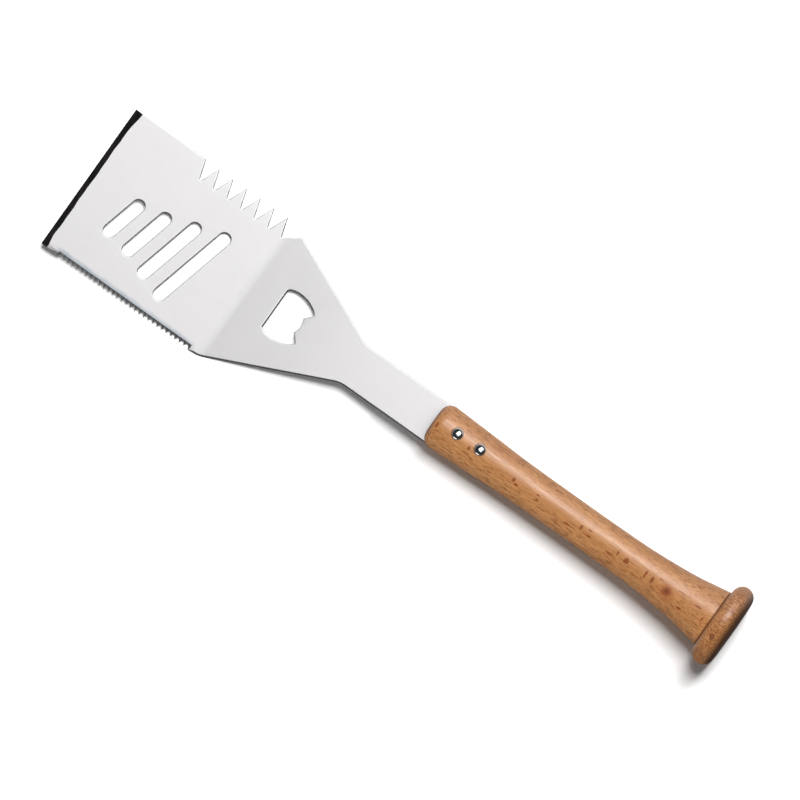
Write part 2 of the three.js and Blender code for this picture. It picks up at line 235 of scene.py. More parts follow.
def neck_length_needed():
    bare = sheet_stretches(0.0)
    end_x, end_z, _ = follow(bare, sum(length for length, _ in bare))
    below = (HANDLE_FRONT_Z - end_z) * math.cos(HANDLE_SLOPE)
    below -= (HANDLE_FRONT_X - end_x) * math.sin(HANDLE_SLOPE)
    return below / math.sin(NECK_SLOPE - HANDLE_SLOPE)


STRETCHES = sheet_stretches(neck_length_needed())
TANG_START = sum(length for length, _ in STRETCHES)
HANDLE_FRONT_ON_SHEET = TANG_START + (
    HANDLE_FRONT_X - follow(STRETCHES, TANG_START)[0]
) / math.cos(HANDLE_SLOPE)

# ---- The blade's flat layout ------------------------------------------------------------------


def toothed_edge():
    points = []
    for i in reversed(range(TOOTH_COUNT)):
        tip = Vector((FIRST_TOOTH + i * TOOTH_PITCH, TOOTHED_EDGE))
        root = tip + TOOTH_ROOT_END
        points.append(root)
        root_start = tip + TOOTH_ROOT_START
        points += quadratic(root, tip + TOOTH_ROOT_LOWEST, root_start, TOOTH_ROOT_STEPS)
        points.append(tip)
    return points


def scalloped_edge():
    edge = (PLAIN_SHOULDER - FRONT_CORNER).normalized()
    start = FRONT_CORNER + edge * FIRST_SCALLOP
    points = [start]
    for i in range(SCALLOP_COUNT):
        hollow = start + edge * ((i + 0.5) * SCALLOP_PITCH) + Vector((0, 2 * SCALLOP_DEPTH))
        end = start + edge * ((i + 1) * SCALLOP_PITCH)
        points += quadratic(points[-1], hollow, end, SCALLOP_STEPS)
    return points


def rounded_corner(before, corner, after, reach):
    start = corner + (before - corner).normalized() * reach
    end = corner + (after - corner).normalized() * reach
    return [start, *quadratic(start, corner, end, CORNER_STEPS)]


def outline():
    """The blade's edge, with the steel on the left."""
    tang = TANG_WIDTH / 2
    tang_end = HANDLE_FRONT_ON_SHEET + TANG_IN_HANDLE
    neck_end = [Vector((NECK_END, side * tang)) for side in (-1, 1)]
    handle_front = [Vector((HANDLE_FRONT_ON_SHEET, side * tang)) for side in (-1, 1)]
    return [
        Vector((0, TOOTHED_EDGE)),
        FRONT_CORNER,
        *scalloped_edge(),
        *rounded_corner(FRONT_CORNER, PLAIN_SHOULDER, neck_end[0], SHOULDER_ROUNDING),
        *rounded_corner(PLAIN_SHOULDER, neck_end[0], handle_front[0], NECK_FILLET),
        handle_front[0],
        Vector((tang_end, -TANG_END_WIDTH / 2)),
        Vector((tang_end, TANG_END_WIDTH / 2)),
        handle_front[1],
        *rounded_corner(handle_front[1], neck_end[1], TOOTHED_SHOULDER, NECK_FILLET),
        TOOTHED_SHOULDER,
        *toothed_edge(),
    ]


def slot(index):
    centre = FIRST_SLOT + Vector((index * SLOT_PITCH, 0))
    reach = Vector((math.sin(SLOT_TILT), math.cos(SLOT_TILT))) * (SLOT_SPANS[index] / 2)
    turn = math.pi - SLOT_TILT
    upper = arc(centre + reach, SLOT_WIDTH / 2, -SLOT_TILT, turn, SLOT_END_STEPS)
    return upper + arc(centre - reach, SLOT_WIDTH / 2, turn, turn + math.pi, SLOT_END_STEPS)


def bottle_opener():
    origin = Vector((OPENER_START, 0))
    mirror = Vector((1, -1))
    near, far = OPENER_BULGE_NEAR, OPENER_BULGE_FAR
    corner = Vector((0, OPENER_HALF_SIDE))
    pocket, tooth = OPENER_POCKET, OPENER_TOOTH
    hollow = Vector((OPENER_HOLLOW, 0))
    points = [corner * mirror]
    points += cubic(corner * mirror, near * mirror, far * mirror, pocket * mirror, OPENER_SIDE_STEPS)
    points.append(tooth * mirror)
    points += quadratic(tooth * mirror, hollow, tooth, OPENER_HOLLOW_STEPS)
    points.append(pocket)
    points += cubic(pocket, far, near, corner, OPENER_SIDE_STEPS)
    return [origin + point for point in points]


def rivet_hole(distance):
    centre = Vector((HANDLE_FRONT_ON_SHEET + distance, RIVET_SIDEWAYS))
    return arc(centre, BARREL_RADIUS + FIT_GAP, 0, 2 * math.pi, RIVET_HOLE_STEPS)[:-1]


def front_grind_width(y):
    """The grind along the front edge wavers a little, and is wider at its ends."""
    waver = 0.13 * math.sin(y * 0.21 + 0.6) + 0.1 * math.sin(y * 0.53)
    toothed_end = 1.7 * smooth_step(36, 47, y)
    serrated_end = 0.7 * smooth_step(-40, -47, y)
    return FRONT_GRIND - 0.15 + waver + toothed_end + serrated_end


def ground_away(x, y):
    """How much the grinds have taken off the top of the sheet at a point of the layout."""
    front = 1 - x / front_grind_width(y)
    side = 1 - (y - FRONT_CORNER.y) / SIDE_GRIND
    front_taken = max(0.0, front) * (SHEET - FRONT_EDGE)
    if not SIDE_GRIND_START < x < SIDE_GRIND_END:
        return front_taken
    return max(front_taken, max(0.0, side) * (SHEET - SIDE_EDGE))


def bend_lines():
    """Lines across the whole layout, where the sheet bends."""
    stations = [HEAD_LENGTH]
    start = HEAD_LENGTH
    for (length, _), steps in zip(STRETCHES[1:], BEND_STEPS):
        stations += [start + length * (i + 1) / steps for i in range(steps)]
        start += length
    return [[Vector((x, -60)), Vector((x, 60))] for x in stations]


def grind_lines():
    """The inner lines of both grinds. They run on a little past the edges of the sheet."""
    front = [Vector((front_grind_width(y), y)) for y in range(-52, 53, 2)]
    inner = FRONT_CORNER.y + SIDE_GRIND
    outer = FRONT_CORNER.y - 2
    start, end = SIDE_GRIND_START, SIDE_GRIND_END
    side = [Vector(place) for place in ((start, outer), (start, inner), (end, inner), (end, outer))]
    return [front, side]


def inside(point, loops):
    """Whether a point is in the steel: inside the outline and in none of the openings."""
    found = False
    for loop in loops:
        for a, b in zip(loop, loop[1:] + loop[:1]):
            if (a.y > point.y) != (b.y > point.y):
                if point.x < a.x + (b.x - a.x) * (point.y - a.y) / (b.y - a.y):
                    found = not found
    return found


def blade_layout():
    """Points and triangles of the flat sheet."""
    loops = [outline(), bottle_opener()]
    loops += [slot(i) for i in range(len(SLOT_SPANS))]
    loops += [rivet_hole(distance) for distance in RIVET_DISTANCES.values()]
    creases = bend_lines() + grind_lines()
    points, edges = [], []
    for line, closed in [(loop, True) for loop in loops] + [(crease, False) for crease in creases]:
        first = len(points)
        points += line
        edges += [(first + i, first + i + 1) for i in range(len(line) - 1)]
        if closed:
            edges.append((len(points) - 1, first))
    points, _, faces, _, _, _ = delaunay_2d_cdt(points, edges, [], 0, 1e-4)
    centres = [sum((points[v] for v in f), Vector((0, 0))) / 3 for f in faces]
    return points, [f for f, centre in zip(faces, centres) if inside(centre, loops)]


# ---- The blade's mesh -------------------------------------------------------------------------

# How far each rounding reaches in over the face and down the wall, as shares of the sheet's
# thickness at that place. The tumbled top edges are worn back further down than in.
TOP_ROUNDING = (0.45, 0.75)
GROUND_ROUNDING = (0.15, 0.15)           # on the grinds
BOTTOM_ROUNDING = (0.2, 0.2)

# The blade's finishes, in the order of its material slots
STEEL_FACE, STEEL_FRONT_GRIND_PAINTED_DARK, STEEL_SIDE_GRIND_PAINTED_DARK, STEEL_CUT_EDGE = 0, 1, 2, 3


def boundary_next(faces):
    """For each point on an edge of the sheet, the next one round it, with the steel on the left."""
    directed = {(f[i], f[(i + 1) % 3]) for f in faces for i in range(3)}
    return {a: b for a, b in directed if (b, a) not in directed}


def inward(points, following):
    """At each edge point, how an inset of 1 moves it into the steel."""
    before = {b: a for a, b in following.items()}
    moves = {}
    for v, after in following.items():
        d1 = (points[v] - points[before[v]]).normalized()
        d2 = (points[after] - points[v]).normalized()
        n1, n2 = Vector((-d1.y, d1.x)), Vector((-d2.y, d2.x))
        moves[v] = (n1 + n2) / max(0.15, 1 + n1.dot(n2))
    return moves


def bent(point, height):
    """Where a point of the layout goes, at a height above the middle of the sheet's thickness.
    Nothing goes below the surface that the tool lies on."""
    x, z, slope = follow(STRETCHES, point.x)
    x, z = x - height * math.sin(slope), z + height * math.cos(slope)
    return Vector((x - OVERALL_LENGTH / 2, point.y, max(z, 0.0))) * MM


def top_height(point):
    """How high the sheet's top is at a point of the layout, above the middle of its thickness."""
    return SHEET / 2 - ground_away(point.x, point.y)


def finish_of(centre):
    if centre.x < front_grind_width(centre.y):
        return STEEL_FRONT_GRIND_PAINTED_DARK
    return STEEL_SIDE_GRIND_PAINTED_DARK if ground_away(centre.x, centre.y) > 0 else STEEL_FACE


def points_round_edge(bm, point, move):
    """The points at one place on the sheet's edge, from its top face down to its underside."""
    on_grind = ground_away(point.x, point.y) > 0
    upper_rounding = GROUND_ROUNDING if on_grind else TOP_ROUNDING
    thickness = top_height(point) + SHEET / 2
    made = {1: [], -1: []}
    for side, rounding in ((1, upper_rounding), (-1, BOTTOM_ROUNDING)):
        reach, drop = (share * thickness for share in rounding)
        for k in range(EDGE_STEPS + 1):
            angle = math.pi / 2 * k / EDGE_STEPS
            place = point + move * (reach * (1 - math.sin(angle)))
            face = top_height(place) if side > 0 else -SHEET / 2
            height = face - side * drop * (1 - math.cos(angle))
            made[side].append(bm.verts.new(bent(place, height)))
    return made[1] + made[-1][::-1]


def blade_mesh():
    points, faces = blade_layout()
    following = boundary_next(faces)
    moves = inward(points, following)
    bm = bmesh.new()
    # At each point of the layout, the mesh's points from the top of the sheet to its underside.
    columns = {}
    for v in sorted({v for f in faces for v in f}):
        if v in following:
            columns[v] = points_round_edge(bm, points[v], moves[v])
        else:
            heights = (top_height(points[v]), -SHEET / 2)
            columns[v] = [bm.verts.new(bent(points[v], height)) for height in heights]

    for f in faces:
        centre = sum((points[v] for v in f), Vector((0, 0))) / 3
        upper = bm.faces.new([columns[v][0] for v in f])
        upper.material_index = finish_of(centre)
        bm.faces.new([columns[v][-1] for v in reversed(f)])
    for a, b in following.items():
        on_front_edge = (points[a] + points[b]).x / 2 < 0.01
        finish = STEEL_FRONT_GRIND_PAINTED_DARK if on_front_edge else STEEL_CUT_EDGE
        rungs = list(zip(columns[a], columns[b]))
        for (upper_a, upper_b), (lower_a, lower_b) in zip(rungs, rungs[1:]):
            wall = bm.faces.new([upper_b, upper_a, lower_a, lower_b])
            wall.material_index = finish
    for face in bm.faces:
        face.smooth = True
    mesh = bpy.data.meshes.new("blade_sheet")
    bm.to_mesh(mesh)
    bm.free()
    return mesh


# ---- Turned parts -----------------------------------------------------------------------------


def lathe(name, profile, segments):
    """A closed mesh turned about the X axis from (distance, radius) points, ends on the axis."""
    bm = bmesh.new()
    rings = []
    for x, r in profile:
        if r == 0:
            rings.append([bm.verts.new(Vector((x, 0, 0)) * MM)])
            continue
        angles = [2 * math.pi * i / segments for i in range(segments)]
        ring = [Vector((x, r * math.sin(a), r * math.cos(a))) * MM for a in angles]
        rings.append([bm.verts.new(co) for co in ring])
    for low, high in zip(rings, rings[1:]):
        for i in range(segments):
            j = (i + 1) % segments
            corners = [low[i % len(low)], high[i % len(high)], high[j % len(high)], low[j % len(low)]]
            bm.faces.new(list(dict.fromkeys(corners)))
    bmesh.ops.recalc_face_normals(bm, faces=bm.faces)
    for face in bm.faces:
        face.smooth = True
    mesh = bpy.data.meshes.new(name)
    bm.to_mesh(mesh)
    bm.free()
    return mesh


def waist_point(t):
    """The waist's curve: a Catmull-Rom curve through its points."""
    last = len(HANDLE_WAIST) - 1
    i = min(int(t * last), last - 1)
    w = t * last - i
    p0, p1, p2, p3 = (HANDLE_WAIST[min(max(k, 0), last)] for k in (i - 1, i, i + 1, i + 2))

    def blend(a, b, c, d):
        v0, v1 = (c - a) / 2, (d - b) / 2
        return (2 * b - 2 * c + v0 + v1) * w**3 + (3 * c - 3 * b - 2 * v0 - v1) * w**2 + v0 * w + b

    return blend(p0[0], p1[0], p2[0], p3[0]), blend(p0[1], p1[1], p2[1], p3[1])


def handle_profile():
    rounding = HANDLE_FRONT_ROUNDING
    flat = HANDLE_FRONT_RADIUS - rounding
    profile = [(0, 0), (0, flat * 0.5)]
    for i in range(HANDLE_FRONT_STEPS + 1):
        angle = math.pi / 2 * i / HANDLE_FRONT_STEPS
        profile.append((rounding * (1 - math.cos(angle)), flat + rounding * math.sin(angle)))
    profile += [waist_point(i / WAIST_STEPS) for i in range(1, WAIST_STEPS)]
    # A fine groove where the flare meets the knob.
    profile += [(KNOB_START - 0.35, 18.0), (KNOB_START - 0.05, 18.3)]
    for i in range(KNOB_RIM_STEPS + 1):
        angle = math.pi * i / KNOB_RIM_STEPS
        x = RIM_DISTANCE - KNOB_RIM * math.cos(angle)
        profile.append((x, RIM_RING + KNOB_RIM * math.sin(angle)))
    profile += [(HANDLE_LENGTH, RIM_RING * share) for share in (0.75, 0.5, 0.25)]
    profile.append((HANDLE_LENGTH, 0))
    return profile


def box_mesh(bm, low, high):
    corners = [[(low, high)[(i >> k) & 1][k] for k in range(3)] for i in range(8)]
    verts = [bm.verts.new(Vector(co) * MM) for co in corners]
    for quad in ((0, 2, 3, 1), (4, 5, 7, 6), (0, 1, 5, 4), (2, 6, 7, 3), (0, 4, 6, 2), (1, 3, 7, 5)):
        bm.faces.new([verts[i] for i in quad])


def cylinder_mesh(bm, x, y, radius, low, high):
    rings = []
    for z in (low, high):
        angles = [2 * math.pi * i / RIVET_SEGMENTS for i in range(RIVET_SEGMENTS)]
        places = [(x + radius * math.cos(a), y + radius * math.sin(a), z) for a in angles]
        ring = [Vector(place) * MM for place in places]
        rings.append([bm.verts.new(co) for co in ring])
    bm.faces.new(rings[0][::-1])
    bm.faces.new(rings[1])
    for i in range(RIVET_SEGMENTS):
        j = (i + 1) % RIVET_SEGMENTS
        bm.faces.new([rings[0][i], rings[0][j], rings[1][j], rings[1][i]])


def radius_at(distance):
    """The handle's radius where a rivet goes through it."""
    (x1, r1), (x2, r2) = HANDLE_WAIST[:2]
    return r1 + (r2 - r1) * (distance - x1) / (x2 - x1)


def handle_cutters():
    """The saw kerf for the tang, and the seats of the rivet heads."""
    bm = bmesh.new()
    kerf = SHEET / 2 + KERF_GAP
    past_the_sides = 20
    low, high = (-2, -past_the_sides, -kerf), (TANG_IN_HANDLE + 1, past_the_sides, kerf)
    box_mesh(bm, low, high)
    for distance in RIVET_DISTANCES.values():
        seat = radius_at(distance) - SEAT_DEPTH
        for low, high in ((seat, seat + 4), (-seat - 4, -seat)):
            cylinder_mesh(bm, distance, RIVET_SIDEWAYS, RIVET_HEAD_RADIUS + SEAT_GAP, low, high)
    mesh = bpy.data.meshes.new("handle_cutters")
    bm.to_mesh(mesh)
    bm.free()
    return mesh


def subtract(piece, cutter_mesh):
    cutter = bpy.data.objects.new("cutter", cutter_mesh)
    bpy.context.scene.collection.objects.link(cutter)
    modifier = piece.modifiers.new("cut", "BOOLEAN")
    modifier.operation = "DIFFERENCE"
    modifier.solver = "EXACT"
    modifier.object = cutter
    bpy.context.view_layer.update()
    graph = bpy.context.evaluated_depsgraph_get()
    mesh = bpy.data.meshes.new_from_object(piece.evaluated_get(graph))
    piece.modifiers.clear()
    piece.data = mesh
    bpy.data.objects.remove(cutter)


def rivet_profile(shank_radius, shank_length):
    """(height, radius) points of a headed shank, from the shank's end to the top of the dome.
    The shank's end and the underside of the head have small chamfers."""
    rim = 0.15
    rise = RIVET_RIM_HEIGHT + RIVET_DOME_HEIGHT - rim
    profile = [(-shank_length, 0), (-shank_length, shank_radius - 0.3)]
    profile += [(-shank_length + 0.4, shank_radius), (0, shank_radius)]
    profile += [(0, RIVET_HEAD_RADIUS - 0.1), (0.1, RIVET_HEAD_RADIUS), (rim, RIVET_HEAD_RADIUS)]
    for i in range(1, DOME_STEPS):
        angle = math.pi / 2 * i / DOME_STEPS
        profile.append((rim + rise * math.sin(angle), RIVET_HEAD_RADIUS * math.cos(angle)))
    profile.append((rim + rise, 0))
    return profile


# ---- Materials --------------------------------------------------------------------------------


class Shader:
    """A node material, built in plain steps."""

    def __init__(self, name):
        self.material = bpy.data.materials.new(name)
        self.material.use_nodes = True
        self.tree = self.material.node_tree
        self.surface = self.tree.nodes["Principled BSDF"]

    def node(self, kind, inputs=None, **settings):
        made = self.tree.nodes.new("ShaderNode" + kind)
        for key, value in settings.items():
            setattr(made, key, value)
        for key, value in (inputs or {}).items():
            self.feed(made.inputs[key], value)
        return made

    def feed(self, socket, value):
        if isinstance(value, bpy.types.NodeSocket):
            self.tree.links.new(value, socket)
        else:
            socket.default_value = value

    def place(self):
        return self.node("TexCoord").outputs["Object"]

    def scaled(self, vector, scale):
        return self.node("Mapping", {"Vector": vector, "Scale": scale}).outputs["Vector"]

    def noise(self, vector, detail=2.0, roughness=0.5):
        made = self.node("TexNoise", {"Vector": vector, "Scale": 1.0, "Detail": detail})
        made.inputs["Roughness"].default_value = roughness
        return made.outputs["Fac"]

    def math(self, operation, a, b=0.0):
        made = self.node("Math", operation=operation)
        self.feed(made.inputs[0], a)
        self.feed(made.inputs[1], b)
        return made.outputs["Value"]

    def span(self, value, low, high, to_low=0.0, to_high=1.0, smooth=False):
        """The value's place between low and high, laid out from to_low to to_high."""
        made = self.node("MapRange", {"Value": value}, clamp=True)
        made.interpolation_type = "SMOOTHSTEP" if smooth else "LINEAR"
        made.inputs["From Min"].default_value = low
        made.inputs["From Max"].default_value = high
        made.inputs["To Min"].default_value = to_low
        made.inputs["To Max"].default_value = to_high
        return made.outputs["Result"]

    def mix(self, share, a, b):
        made = self.node("Mix", data_type="RGBA")
        self.feed(made.inputs["Factor"], share)
        self.feed(made.inputs[6], a)
        self.feed(made.inputs[7], b)
        return made.outputs[2]

    def bump(self, height, distance, strength):
        made = self.node("Bump", {"Height": height, "Distance": distance, "Strength": strength})
        return made.outputs["Normal"]

    def parts(self, vector):
        return self.node("SeparateXYZ", {"Vector": vector}).outputs

    def distance_from(self, value, centre):
        return self.math("ABSOLUTE", self.math("SUBTRACT", value, centre))

    def set(self, **values):
        for key, value in values.items():
            self.feed(self.surface.inputs[key.replace("_", " ")], value)


def rgb(red, green, blue):
    return (red, green, blue, 1.0)


def painted_blue_reflection(s, place):
    """A faint, darker bluish strip beside the serrations: a painted reflection."""
    parts = s.parts(place)
    slant = (PLAIN_SHOULDER.y - FRONT_CORNER.y) / (PLAIN_SHOULDER.x - FRONT_CORNER.x)
    edge_start = (FRONT_CORNER.y + slant * OVERALL_LENGTH / 2) * MM
    edge = s.math("ADD", s.math("MULTIPLY", parts["X"], slant), edge_start)
    blotch = s.span(s.noise(s.scaled(place, (160, 300, 300)), 2), 0.25, 0.75, -0.0006, 0.0006)
    inside_edge = s.math("ADD", s.math("SUBTRACT", parts["Y"], edge), blotch)
    starts = (FIRST_SCALLOP - 5 - OVERALL_LENGTH / 2) * MM
    ends = (PLAIN_SHOULDER.x - 3 - OVERALL_LENGTH / 2) * MM
    fade = 0.006
    blue_reflection_share = s.span(inside_edge, 0.0024, 0.0058, 1.0, 0.0, smooth=True)
    blue_reflection_share = s.math("MULTIPLY", blue_reflection_share, s.span(parts["X"], starts, starts + fade, smooth=True))
    return s.math("MULTIPLY", blue_reflection_share, s.span(parts["X"], ends - fade, ends, 1.0, 0.0, smooth=True))


def satin_steel():
    """Sheet steel with a fine lengthwise satin finish."""
    s = Shader("satin_steel")
    place = s.place()
    grain = s.noise(s.scaled(place, (90, 2600, 2600)), 3)
    cloud = s.noise(s.scaled(place, (22, 30, 30)), 3)
    tone = s.math("ADD", s.math("MULTIPLY", cloud, 0.05), s.math("MULTIPLY", grain, 0.03))
    colour = s.mix(s.span(tone, 0.02, 0.06), rgb(0.79, 0.776, 0.782), rgb(0.83, 0.816, 0.822))
    rough = s.math("ADD", s.span(grain, 0.3, 0.7, 0.40, 0.47), s.span(cloud, 0.3, 0.7, -0.01, 0.02))
    # Painted bluish reflection beside the serrations.
    colour = s.mix(painted_blue_reflection(s, place), colour, rgb(0.46, 0.515, 0.57))
    s.set(Base_Color=colour, Metallic=1.0, Roughness=rough)
    s.set(Normal=s.bump(grain, 0.000004, 0.4))
    return s.material


def ground_front_painted_dark():
    """The bevel ground along the front edge, painted nearly black: a painted dark reflection,
    standing in for the dark part of the studio that the bright ground steel mirrors there.
    """
    s = Shader("ground_front_painted_dark_steel")
    place = s.place()
    marks = s.noise(s.scaled(place, (3000, 60, 3000)), 3)
    cloud = s.noise(s.scaled(place, (300, 120, 300)), 2)
    colour = s.mix(s.span(cloud, 0.35, 0.7), rgb(0.016, 0.015, 0.014), rgb(0.040, 0.037, 0.035))
    s.set(Base_Color=colour, Metallic=0.85, Roughness=s.span(marks, 0.3, 0.7, 0.28, 0.42))
    s.set(Normal=s.bump(marks, 0.00001, 0.5))
    return s.material


def cut_edge():
    """The sheet's sheared and tumbled edges: rounded over and shinier than its faces."""
    s = Shader("cut_edge_steel")
    place = s.place()
    marks = s.noise(s.scaled(place, (700, 700, 2200)), 3)
    cloud = s.noise(s.scaled(place, (120, 120, 300)), 2)
    colour = s.mix(s.span(cloud, 0.3, 0.7), rgb(0.76, 0.75, 0.75), rgb(0.82, 0.81, 0.81))
    s.set(Base_Color=colour, Metallic=1.0, Roughness=s.span(marks, 0.3, 0.7, 0.10, 0.18))
    s.set(Normal=s.bump(marks, 0.00001, 0.4))
    return s.material


def ground_side_painted_dark():
    """The grind along the fine serrations, its colour darkened: partly painted dark reflection, added
    to the dark that the grind's own tilt mirrors from the studio.
    """
    s = Shader("ground_side_painted_dark_steel")
    place = s.place()
    marks = s.noise(s.scaled(place, (2600, 90, 2600)), 3)
    cloud = s.noise(s.scaled(place, (60, 200, 200)), 2)
    colour = s.mix(s.span(cloud, 0.3, 0.7), rgb(0.44, 0.415, 0.405), rgb(0.54, 0.51, 0.50))
    s.set(Base_Color=colour, Metallic=1.0, Roughness=s.span(marks, 0.3, 0.7, 0.30, 0.42))
    s.set(Normal=s.bump(marks, 0.00001, 0.5))
    return s.material


def place_on_handle(s):
    """The row frame's coordinates, turned and moved into the handle's own frame."""
    inverse = handle_place().inverted()
    moved = s.node("Mapping", {"Vector": s.place(), "Location": inverse.to_translation()})
    moved.inputs["Rotation"].default_value = inverse.to_euler()
    return moved.outputs["Vector"]


# Dark flecks in the top of the handle: distance from the front face, place across (toward
# the toothed edge), length and width, in millimetres.
FLECKS = (
    (3.3, -1.0, 2.0, 4.4),
    (26.3, -1.4, 1.9, 2.4),
    (58.3, -1.2, 2.1, 2.9),
    (61.0, -3.0, 2.6, 1.6),
    (75.8, -3.3, 2.8, 1.7),
    (75.0, -0.4, 2.4, 1.0),
    (98.2, -4.4, 4.4, 1.2),
    (106.3, -1.2, 1.9, 3.0),
    (112.6, -3.1, 4.2, 1.3),
    (112.0, 0.4, 3.4, 0.9),
    (128.6, -4.1, 5.6, 1.2),
    (132.4, -1.2, 1.2, 3.4),
    (139.0, -2.0, 3.4, 4.0),
    (152.6, -2.0, 1.4, 4.8),
    (157.6, -2.2, 2.1, 4.2),
    (162.0, 1.0, 3.0, 0.8),
    (179.5, -6.9, 4.4, 1.2),
    (176.0, 1.6, 5.0, 0.9),
    (188.6, 0.2, 4.6, 1.2),
    (194.6, -4.6, 1.0, 3.8),
)
KNOT = Vector((168.2, -2.9))
FLECK_RING = Vector((205.5, -9.4))


def fleck_mask(s, place, wobble):
    """1 inside the flecks, with ragged edges."""
    parts = s.parts(place)
    above = s.math("GREATER_THAN", parts["Z"], 0.0)
    total = None
    for x, y, length, width in FLECKS:
        dx = s.math("DIVIDE", s.math("SUBTRACT", parts["X"], x * MM), length / 2 * MM)
        dy = s.math("DIVIDE", s.math("SUBTRACT", parts["Y"], y * MM), width / 2 * MM)
        away = s.math("SQRT", s.math("ADD", s.math("POWER", dx, 2.0), s.math("POWER", dy, 2.0)))
        mask = s.span(s.math("ADD", away, wobble), 0.6, 1.3, 1.0, 0.0, smooth=True)
        total = mask if total is None else s.math("MAXIMUM", total, mask)
    return s.math("MULTIPLY", total, above)


def spot_distance(s, place, centre):
    """How far, in metres, the top of the handle is from a place given like the flecks'."""
    flattened = s.scaled(place, (1, 1, 0))
    spot = (centre.x * MM, centre.y * MM, 0)
    return s.node("VectorMath", {0: flattened, 1: spot}, operation="DISTANCE").outputs["Value"]


def beech_grain(s, place):
    """The wood's colour with its grain, and the fibres and dashes that its relief needs."""
    wave = s.span(s.noise(s.scaled(place, (45, 90, 90)), 2), 0.2, 0.8, -0.0016, 0.0016)
    wander = s.node("CombineXYZ", {"Y": wave}).outputs["Vector"]
    grain_place = s.node("VectorMath", {0: place, 1: wander}, operation="ADD").outputs["Vector"]
    cloud = s.noise(s.scaled(place, (30, 90, 90)), 2)
    fibre = s.noise(s.scaled(grain_place, (45, 1500, 1500)), 4, 0.6)
    bands = s.noise(s.scaled(grain_place, (14, 420, 420)), 2)
    dash_noise = s.noise(s.scaled(grain_place, (210, 1350, 1350)), 2, 0.5)
    pores = s.noise(s.scaled(place, (500, 4200, 4200)), 2)
    across = s.distance_from(s.parts(place)["Y"], RIVET_SIDEWAYS * MM)
    on_sides = s.span(across, 0.002, 0.007, 0.3, 1.0, smooth=True)
    dashes = s.math("MULTIPLY", s.span(dash_noise, 0.52, 0.63, smooth=True), on_sides)

    base = s.mix(s.span(cloud, 0.3, 0.7), rgb(0.55, 0.252, 0.088), rgb(0.66, 0.322, 0.120))
    base = s.mix(s.span(bands, 0.35, 0.65, 0.0, 0.4), base, rgb(0.47, 0.193, 0.062))
    base = s.mix(s.span(fibre, 0.38, 0.70, 0.0, 0.85), base, rgb(0.37, 0.142, 0.042))
    base = s.mix(s.math("MULTIPLY", dashes, 0.72), base, rgb(0.20, 0.058, 0.012))
    base = s.mix(s.span(pores, 0.58, 0.75, 0.0, 0.4), base, rgb(0.28, 0.10, 0.030))
    return base, fibre, dashes


def beech_marks(s, place, base):
    """Adds the knot, a soft reddish brown spot, the small ring on the knob, and the flecks."""
    ragged = s.noise(s.scaled(place, (420, 420, 420)), 2)
    wobble = s.span(ragged, 0.2, 0.8, -0.45, 0.45)
    knot_far = s.math("ADD", spot_distance(s, place, KNOT), s.math("MULTIPLY", wobble, 0.0018))
    halo = s.span(knot_far, 0.0010, 0.0080, 1.0, 0.0, smooth=True)
    base = s.mix(s.math("MULTIPLY", halo, 0.8), base, rgb(0.40, 0.13, 0.035))
    heart = s.span(knot_far, 0.0, 0.0042, 1.0, 0.0, smooth=True)
    base = s.mix(s.math("MULTIPLY", heart, 0.9), base, rgb(0.18, 0.036, 0.010))
    ring_radius = 0.0010
    ring_far = s.distance_from(spot_distance(s, place, FLECK_RING), ring_radius)
    ring_far = s.math("ADD", ring_far, s.math("MULTIPLY", wobble, 0.0006))
    ring = s.span(ring_far, 0.0002, 0.0008, 0.9, 0.0, smooth=True)
    base = s.mix(ring, base, rgb(0.14, 0.028, 0.010))
    flecks = fleck_mask(s, place, wobble)
    return s.mix(s.math("MULTIPLY", flecks, 0.95), base, rgb(0.25, 0.055, 0.007))


def beech_knob_hatch_and_painted_shade(s, place, base):
    """Turning has roughed up the knob's fibres, drawn as a darker hatch on the knob. The outer end of
    the knob, the line where the flare meets the knob and the front rim are painted darker: painted
    shade."""
    along = s.parts(place)["X"]
    knob_start, knob_end = KNOB_START * MM, HANDLE_LENGTH * MM
    on_knob = s.span(along, knob_start - 0.0005, knob_start + 0.0010)
    hatch = s.noise(s.scaled(place, (420, 1250, 1250)), 3, 0.6)
    hatch = s.math("MULTIPLY", s.span(hatch, 0.42, 0.62), s.math("MULTIPLY", on_knob, 0.8))
    base = s.mix(hatch, base, rgb(0.19, 0.055, 0.012))
    # Painted shade: the outer end of the knob, turned away from the light, darkened nearly to black.
    end = s.span(along, knob_end - 0.0045, knob_end - 0.0005, smooth=True)
    base = s.mix(s.math("MULTIPLY", end, 0.85), base, rgb(0.060, 0.020, 0.007))
    # Painted shade in the groove where the flare meets the knob.
    groove_far = s.distance_from(along, knob_start - 0.0002)
    groove = s.span(groove_far, 0.0003, 0.0011, 0.75, 0.0)
    base = s.mix(groove, base, rgb(0.11, 0.035, 0.012))
    # Painted shade along the front rim, where the handle meets the tang.
    front = s.span(along, 0.0002, 0.0022, 0.85, 0.0, smooth=True)
    return s.mix(front, base, rgb(0.14, 0.045, 0.014))


def oiled_beech():
    """Straight-grained beech: fine dashes on its sides, flecks and a small knot in its top."""
    s = Shader("oiled_beech")
    place = place_on_handle(s)
    grain, fibre, dashes = beech_grain(s, place)
    colour = beech_knob_hatch_and_painted_shade(s, place, beech_marks(s, place, grain))
    s.set(Base_Color=colour, Roughness=s.span(fibre, 0.3, 0.7, 0.38, 0.50))
    relief = s.math("ADD", fibre, s.math("MULTIPLY", dashes, -0.9))
    s.set(Normal=s.bump(relief, 0.00004, 0.6))
    return s.material


